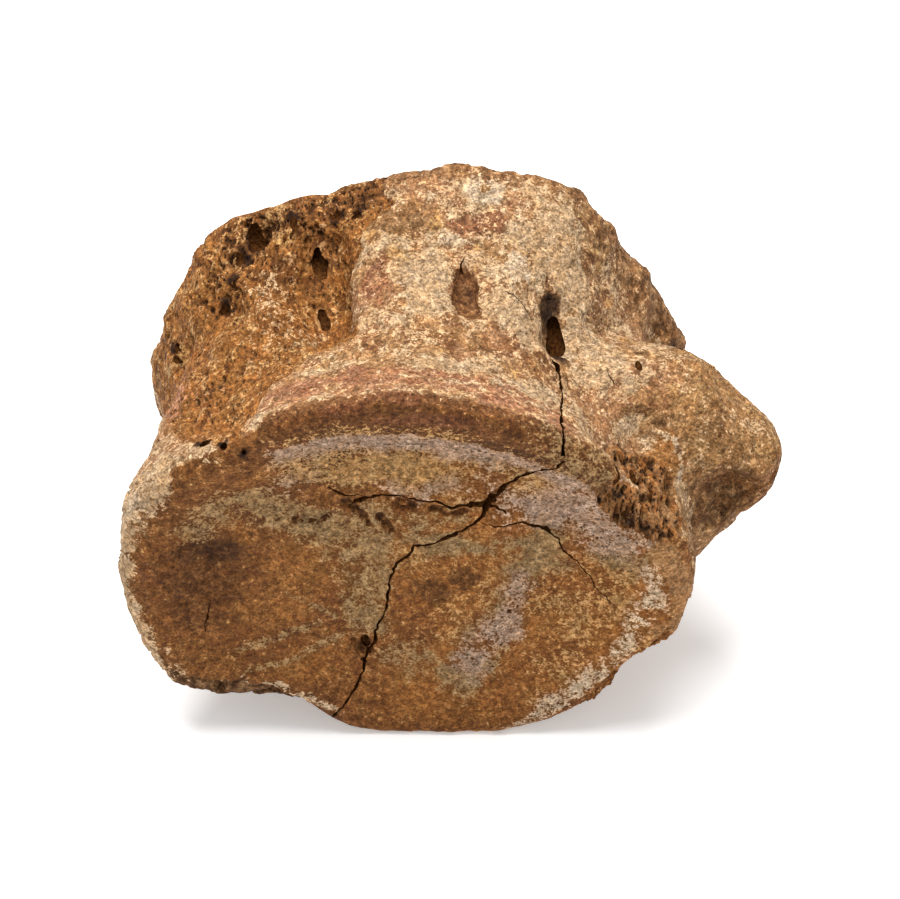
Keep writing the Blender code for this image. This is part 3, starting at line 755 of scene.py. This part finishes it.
def hole_rows(path, seed):
    """Rows of a lumpy burrow along points x, y, z and radius."""
    path = np.array(path, float)
    course = np.gradient(path[:, :3], axis=0)
    rows = []
    for point, step in zip(path, course):
        step = step / np.linalg.norm(step)
        across = np.cross(step, (1.0, 0.2, 0.1))
        across /= np.linalg.norm(across)
        other = np.cross(step, across)
        row = []
        for k in range(12):
            turn = 2 * math.pi * k / 12
            way = across * math.cos(turn) + other * math.sin(turn)
            size = point[3] * (1 + 0.55 * noise((point[:3] + way * point[3])[None], 1.3, seed)[0])
            row.append(point[:3] + way * size)
        rows.append(row)
    return rows


def cutter_of(name, lofts, materials):
    """One object of several closed skins, whose faces all take the last of the materials."""
    mesh = bmesh.new()
    for rows in lofts:
        loft(mesh, rows)
    bmesh.ops.recalc_face_normals(mesh, faces=mesh.faces)
    for face in mesh.faces:
        face.material_index = len(materials) - 1
    data = bpy.data.meshes.new(name)
    mesh.to_mesh(data)
    mesh.free()
    for material in materials:
        data.materials.append(material)
    obj = bpy.data.objects.new(name, data)
    bpy.context.scene.collection.objects.link(obj)
    return obj


def seen(points, place):
    """The number of the surface point that the camera sees in the direction of a place."""
    sight = np.array(place, float) - np.array(CAMERA)
    sight /= np.linalg.norm(sight)
    offset = points - np.array(CAMERA)
    reach = offset @ sight
    aside = np.linalg.norm(offset - reach[:, None] * sight, axis=1)
    close = np.flatnonzero(aside < max(0.6, aside.min() + 0.1))
    return close[np.argmin(reach[close])]


def shifted(path, points, normals):
    """A hole's path, moved so that its middle lies just under the surface."""
    path = np.array(path, float)
    middle = path[len(path) // 2]
    found = seen(points, middle[:3])
    path[:, :3] += points[found] - normals[found] * HOLE_SINK * middle[3] - middle[:3]
    return path


def fissure_rows(path, points, normals, seed):
    """Rows of the wedge for a fissure whose points are moved onto the surface."""
    found = [seen(points, point[:3]) for point in path]
    line = [(*points[k], point[3]) for k, point in zip(found, path)]
    return blade_rows(line, -normals[found].mean(axis=0), FISSURE_DEPTH, seed)


def surface_depth(points, x, z):
    """How far back the front face lies at x, z."""
    distance = np.hypot(points[:, 0] - x, points[:, 2] - z) + 10 * (points[:, 1] > 12)
    nearest = np.argpartition(distance, 6)[:6]
    return float(points[nearest, 1].mean())


def cut_cracks(obj):
    """Cut the cracks and the deepest holes. What one cutter cuts doesn't overlap."""
    points = from_world(points_of(obj.data))
    normals = normals_of(obj.data)
    # The faces that the cutters leave take the second material, the painted shade of the cracks and holes
    materials = (bone_material(), crack_material())
    for material in materials:
        obj.data.materials.append(material)

    def face_rows(line, depth, seed):
        path = [(x, surface_depth(points, x, z), z, half) for x, z, half in line]
        return blade_rows(path, (0, 1, 0), depth, seed)

    holes = [hole_rows(shifted(path, points, normals), 230 + k) for k, path in enumerate(HOLES)]
    groups = {
        "cracks_a": [face_rows(MAIN_CRACK, 2.4, 201), face_rows(FAR_LEFT_CRACK, 1.5, 202),
                     face_rows(SMALL_CRACK, 1.0, 203)],
        "cracks_b": [face_rows(LEFT_CRACK, 2.2, 204), face_rows(RIGHT_CRACK, 1.8, 205)],
        "cracks_c": [face_rows(RIGHT_TIP_CRACK, 1.6, 206), blade_rows(TOP_CRACK, (0, 0.25, -1), 2.2, 207)],
        "holes_a": holes[::2],
        "holes_b": holes[1::2],
        "fissures": [fissure_rows(path, points, normals, 260 + k) for k, path in enumerate(FISSURES)],
    }
    cutters = [cutter_of(name, lofts, materials) for name, lofts in groups.items()]
    for cutter in cutters:
        cut = obj.modifiers.new("cut", "BOOLEAN")
        cut.operation = "DIFFERENCE"
        cut.solver = "MANIFOLD"
        cut.object = cutter
    apply_modifiers(obj)
    for cutter in cutters:
        bpy.data.objects.remove(cutter)


def drop_crumbs(mesh, least=200):
    """Remove the loose crumbs, of fewer points than least, that the cuts leave."""
    edges = np.zeros(2 * len(mesh.edges), np.int32)
    mesh.edges.foreach_get("vertices", edges)
    edges = edges.reshape(-1, 2)
    label = np.arange(len(mesh.vertices))
    before = np.zeros_like(label) - 1
    while (label != before).any():
        before = label.copy()
        low = label[edges].min(axis=1)
        np.minimum.at(label, edges[:, 0], low)
        np.minimum.at(label, edges[:, 1], low)
        label = label[label]
    size = np.bincount(label)[label]
    grid = bmesh.new()
    grid.from_mesh(mesh)
    grid.verts.ensure_lookup_table()
    bmesh.ops.delete(grid, geom=[grid.verts[k] for k in np.flatnonzero(size < least)], context="VERTS")
    grid.to_mesh(mesh)
    grid.free()


def carry_over(obj, points, layers):
    """Give the object's points the values that the nearest of the given points has."""
    tree = KDTree(len(points))
    for number, point in enumerate(points):
        tree.insert(point, number)
    tree.balance()
    nearest = np.array([tree.find(point)[1] for point in points_of(obj.data)])
    for name, values in layers.items():
        picked = values[nearest]
        if values.ndim == 2:
            attribute = obj.data.attributes.new(name, "FLOAT_COLOR", "POINT")
            picked = np.column_stack([picked, np.ones(len(picked))]).astype(np.float32)
            attribute.data.foreach_set("color", picked.ravel())
        else:
            attribute = obj.data.attributes.new(name, "FLOAT", "POINT")
            attribute.data.foreach_set("value", picked.astype(np.float32))


def shade_smooth(mesh):
    """Smooth shading, apart from the edges of the cracks."""
    mesh.polygons.foreach_set("use_smooth", [True] * len(mesh.polygons))
    slots = np.empty(len(mesh.polygons), np.int32)
    mesh.polygons.foreach_get("material_index", slots)
    edges = np.empty(len(mesh.loops), np.int32)
    mesh.loops.foreach_get("edge_index", edges)
    totals = np.empty(len(mesh.polygons), np.int32)
    mesh.polygons.foreach_get("loop_total", totals)
    slot = np.repeat(slots, totals)
    low = np.full(len(mesh.edges), 9)
    high = np.full(len(mesh.edges), -9)
    np.minimum.at(low, edges, slot)
    np.maximum.at(high, edges, slot)
    sharp = mesh.attributes.new("sharp_edge", "BOOLEAN", "EDGE")
    sharp.data.foreach_set("value", low != high)


def add(tree, kind, **settings):
    """A node with these settings."""
    made = tree.nodes.new(kind)
    for name, value in settings.items():
        setattr(made, name, value)
    return made


def math_node(tree, operation, first, second=None):
    """A maths node: each input is a socket or a number."""
    made = add(tree, "ShaderNodeMath", operation=operation)
    for socket, value in zip(made.inputs, (first, second)):
        if isinstance(value, (int, float)):
            socket.default_value = value
        elif value is not None:
            tree.links.new(value, socket)
    return made.outputs[0]


def spread(tree, value, low, high, to_low, to_high):
    """value from low to high, mapped to to_low to to_high and held there."""
    made = add(tree, "ShaderNodeMapRange", interpolation_type="SMOOTHSTEP")
    tree.links.new(value, made.inputs["Value"])
    for name, number in (("From Min", low), ("From Max", high), ("To Min", to_low), ("To Max", to_high)):
        made.inputs[name].default_value = number
    return made.outputs["Result"]


def attribute(tree, name, output):
    """A value that the mesh's points carry."""
    made = add(tree, "ShaderNodeAttribute", attribute_name=name)
    return made.outputs[output]


def noise_node(tree, coordinates, size_mm, detail, roughness):
    """Noise with features of about that size."""
    made = add(tree, "ShaderNodeTexNoise")
    tree.links.new(coordinates, made.inputs["Vector"])
    made.inputs["Scale"].default_value = 1 / size_mm
    made.inputs["Detail"].default_value = detail
    made.inputs["Roughness"].default_value = roughness
    return made


def voronoi_node(tree, coordinates, size_mm):
    """Cells of about that size, around scattered points."""
    made = add(tree, "ShaderNodeTexVoronoi")
    tree.links.new(coordinates, made.inputs["Vector"])
    made.inputs["Scale"].default_value = 1 / size_mm
    return made


def vector_node(tree, operation, first, second):
    """A vector maths node: each input is a socket, or three numbers."""
    made = add(tree, "ShaderNodeVectorMath", operation=operation)
    tree.links.new(first, made.inputs[0])
    if isinstance(second, tuple):
        made.inputs[1].default_value = second
    else:
        tree.links.new(second, made.inputs[1])
    return made.outputs[0]


def sand(tree, mm, size_mm):
    """Grains of that size, each with its own brightness from 0 to 1."""
    parts = add(tree, "ShaderNodeSeparateColor")
    tree.links.new(voronoi_node(tree, mm, size_mm).outputs["Color"], parts.inputs[0])
    return parts.outputs[0]


def bone_material():
    """Fossil bone: the points' tint, in which some shade and highlights are painted, broken up by grains, and
    painted shade in the pores where the bone is open and in dark specks of the porous patches.
    """
    material = bpy.data.materials.new("fossil_bone")
    material.use_nodes = True
    tree = material.node_tree
    shader = tree.nodes["Principled BSDF"]
    place = add(tree, "ShaderNodeTexCoord").outputs["Object"]
    mm = vector_node(tree, "MULTIPLY", place, (1000.0, 1000.0, 1000.0))
    waver = vector_node(tree, "MULTIPLY", noise_node(tree, mm, 0.9, 2, 0.6).outputs["Color"], (0.9, 0.9, 0.9))
    bent = vector_node(tree, "ADD", mm, waver)
    fibres = vector_node(tree, "MULTIPLY", bent, (1.2, 0.5, 0.7))

    def times(first, second):
        return math_node(tree, "MULTIPLY", first, second)

    def plus(first, second):
        return math_node(tree, "ADD", first, second)

    fine_sand = sand(tree, mm, 0.34)
    coarse_sand = sand(tree, bent, 0.8)
    clouds = noise_node(tree, mm, 1.5, 4, 0.7).outputs["Fac"]
    mottle = noise_node(tree, mm, 3.4, 5, 0.68).outputs["Fac"]
    open_bone = attribute(tree, "open", "Fac")
    porous = attribute(tree, "porous", "Fac")
    # Painted shade in small pores: dark cells where the bone is open, and dark specks in the porous patches
    pore = spread(tree, voronoi_node(tree, fibres, 0.85).outputs["Distance"], 0.14, 0.4, 1, 0)
    speck = spread(tree, voronoi_node(tree, bent, 1.0).outputs["Distance"], 0.12, 0.3, 1, 0)
    speck = times(speck, spread(tree, coarse_sand, 0.35, 0.6, 0, 1))
    dark = times(pore, times(open_bone, 0.88))
    dark = math_node(tree, "MAXIMUM", dark, times(speck, times(porous, 0.9)))

    light = times(spread(tree, fine_sand, 0, 1, 0.6, 1.42), spread(tree, coarse_sand, 0, 1, 0.82, 1.2))
    light = times(light, spread(tree, clouds, 0.32, 0.68, 0.78, 1.22))
    light = times(light, math_node(tree, "SUBTRACT", 1.0, dark))
    grains = plus(times(fine_sand, 0.4), times(coarse_sand, 0.25))
    grains = plus(grains, spread(tree, clouds, 0.3, 0.7, 0, 0.35))
    crusted = spread(tree, plus(grains, attribute(tree, "cover", "Fac")), 0.85, 1.1, 0, 1)
    coat = add(tree, "ShaderNodeMix", data_type="RGBA")
    tree.links.new(crusted, coat.inputs["Factor"])
    tree.links.new(attribute(tree, "tint", "Color"), coat.inputs["A"])
    tree.links.new(attribute(tree, "crust", "Color"), coat.inputs["B"])
    deepen = add(tree, "ShaderNodeGamma")
    tree.links.new(coat.outputs["Result"], deepen.inputs["Color"])
    tree.links.new(spread(tree, clouds, 0.32, 0.68, 1.12, 0.92), deepen.inputs["Gamma"])
    hue = add(tree, "ShaderNodeMix", data_type="RGBA")
    tree.links.new(spread(tree, mottle, 0.35, 0.65, 0, 1), hue.inputs["Factor"])
    hue.inputs["A"].default_value = (1.06, 0.99, 0.88, 1)
    hue.inputs["B"].default_value = (0.96, 1.0, 1.05, 1)
    toned = vector_node(tree, "MULTIPLY", deepen.outputs["Color"], hue.outputs["Result"])
    colour = add(tree, "ShaderNodeVectorMath", operation="SCALE")
    tree.links.new(toned, colour.inputs[0])
    tree.links.new(light, colour.inputs["Scale"])
    tree.links.new(colour.outputs[0], shader.inputs["Base Color"])

    tree.links.new(spread(tree, mottle, 0.3, 0.7, 0.7, 0.92), shader.inputs["Roughness"])
    shader.inputs["Specular IOR Level"].default_value = 0.15
    height = plus(plus(times(fine_sand, 0.35), times(coarse_sand, 0.3)), clouds)
    height = math_node(tree, "SUBTRACT", height, dark)
    bump = add(tree, "ShaderNodeBump")
    tree.links.new(height, bump.inputs["Height"])
    bump.inputs["Strength"].default_value = 1.0
    bump.inputs["Distance"].default_value = GRAIN_HEIGHT / 1000
    tree.links.new(bump.outputs[0], shader.inputs["Normal"])
    return material


def crack_material():
    """The dark inside of the cracks: painted shade, near black to dark brown."""
    material = bpy.data.materials.new("crack_shade")
    material.use_nodes = True
    tree = material.node_tree
    shader = tree.nodes["Principled BSDF"]
    place = add(tree, "ShaderNodeTexCoord").outputs["Object"]
    grain = noise_node(tree, place, 0.0006, 3, 0.7).outputs["Fac"]
    ramp_node = add(tree, "ShaderNodeValToRGB")
    first, last = ramp_node.color_ramp.elements
    first.position = 0.35
    first.color = (*(linear(CRACK_AND_PORE_SHADE) * SHADE), 1)
    last.position = 0.7
    last.color = (*(linear(BROWN) * SHADE), 1)
    tree.links.new(grain, ramp_node.inputs["Fac"])
    tree.links.new(ramp_node.outputs["Color"], shader.inputs["Base Color"])
    shader.inputs["Roughness"].default_value = 0.9
    shader.inputs["Specular IOR Level"].default_value = 0.0
    return material


def make_vertebra():
    """The fossil's visible surface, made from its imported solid."""
    source = bpy.data.objects[NODE]
    obj = bpy.data.objects.new("vertebra_surface", source.data.copy())
    bpy.context.scene.collection.objects.link(obj)
    obj.data.transform(source.matrix_world)
    obj.data.materials.clear()
    remesh(obj, COARSE, COARSE_ROUNDS)
    shaped = reshape(from_world(points_of(obj.data))) + np.array([AXIS_X, FRONT_Y, 0])
    obj.data.vertices.foreach_set("co", (shaped / 1000).ravel())
    obj.data.update()
    remesh(obj, FINE, FINE_ROUNDS)
    points = points_of(obj.data)
    normals = normals_of(obj.data)
    p = from_world(points)
    area = areas_of(p, normals)
    bare = flakes(p)
    height, pore = relief(p, area, bare)
    tint, crust, cover = tint_of(p, normals, area, bare, pore)
    moved = points + normals * height[:, None] / 1000
    moved[:, 2] = np.maximum(moved[:, 2], 0)
    obj.data.vertices.foreach_set("co", moved.ravel())
    obj.data.update()
    count = sum(len(polygon.vertices) - 2 for polygon in obj.data.polygons)
    fewer = obj.modifiers.new("fewer", "DECIMATE")
    fewer.ratio = min(1.0, TRIANGLES / count)
    apply_modifiers(obj)
    cut_cracks(obj)
    drop_crumbs(obj.data)
    layers = {"tint": tint, "crust": crust, "cover": cover, "open": area["open"], "porous": area["porous"]}
    carry_over(obj, moved, layers)
    shade_smooth(obj.data)
    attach(obj, "root")
    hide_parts(NODE)


def make_stage():
    """A plain white floor."""
    mesh = bpy.data.meshes.new("floor")
    half = FLOOR_SIZE / 2
    corners = [(-half, -half, 0), (half, -half, 0), (half, half, 0), (-half, half, 0)]
    mesh.from_pydata(corners, [], [(0, 1, 2, 3)])
    floor = bpy.data.objects.new("floor", mesh)
    bpy.context.scene.collection.objects.link(floor)
    material = bpy.data.materials.new("floor_white")
    material.use_nodes = True
    shader = material.node_tree.nodes["Principled BSDF"]
    shader.inputs["Base Color"].default_value = (*FLOOR_COLOUR, 1)
    shader.inputs["Roughness"].default_value = 0.9
    shader.inputs["Emission Color"].default_value = (1, 1, 1, 1)
    shader.inputs["Emission Strength"].default_value = FLOOR_GLOW
    mesh.materials.append(material)


def make_lights():
    """One large soft light above, and a pale surround."""
    light = bpy.data.lights.new("key", "AREA")
    light.shape = "DISK"
    light.size = KEY_SIZE
    light.energy = KEY_POWER
    key = bpy.data.objects.new("key", light)
    bpy.context.scene.collection.objects.link(key)
    key.location = to_world(KEY_PLACE)
    aim = Vector(to_world((0, 30, 40))) - key.location
    key.rotation_euler = aim.to_track_quat("-Z", "Y").to_euler()
    world = bpy.data.worlds.new("studio")
    world.use_nodes = True
    background = world.node_tree.nodes["Background"]
    background.inputs["Color"].default_value = (1, 1, 1, 1)
    background.inputs["Strength"].default_value = WORLD_STRENGTH
    bpy.context.scene.world = world


def make_camera():
    """The camera at the photograph's angle."""
    data = bpy.data.cameras.new("camera")
    data.lens = LENS
    data.sensor_width = 36
    camera = bpy.data.objects.new("camera", data)
    bpy.context.scene.collection.objects.link(camera)
    camera.location = to_world(CAMERA)
    aim = Vector(to_world(TARGET)) - camera.location
    camera.rotation_euler = aim.to_track_quat("-Z", "Y").to_euler()
    bpy.context.scene.camera = camera


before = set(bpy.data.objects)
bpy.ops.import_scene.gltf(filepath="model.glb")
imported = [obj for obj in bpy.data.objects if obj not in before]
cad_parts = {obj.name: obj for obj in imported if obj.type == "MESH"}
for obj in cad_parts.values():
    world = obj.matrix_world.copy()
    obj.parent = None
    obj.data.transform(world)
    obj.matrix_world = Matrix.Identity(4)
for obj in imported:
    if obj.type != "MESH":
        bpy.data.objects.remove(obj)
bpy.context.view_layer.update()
low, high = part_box(NODE)
AXIS_X = high[0] * 1000 - AXIS_FROM_RIGHT
FRONT_Y = low[1] * 1000 + FRONT_FROM_LOW
make_vertebra()
make_stage()
make_lights()
make_camera()
bpy.context.scene.view_settings.view_transform = "Standard"
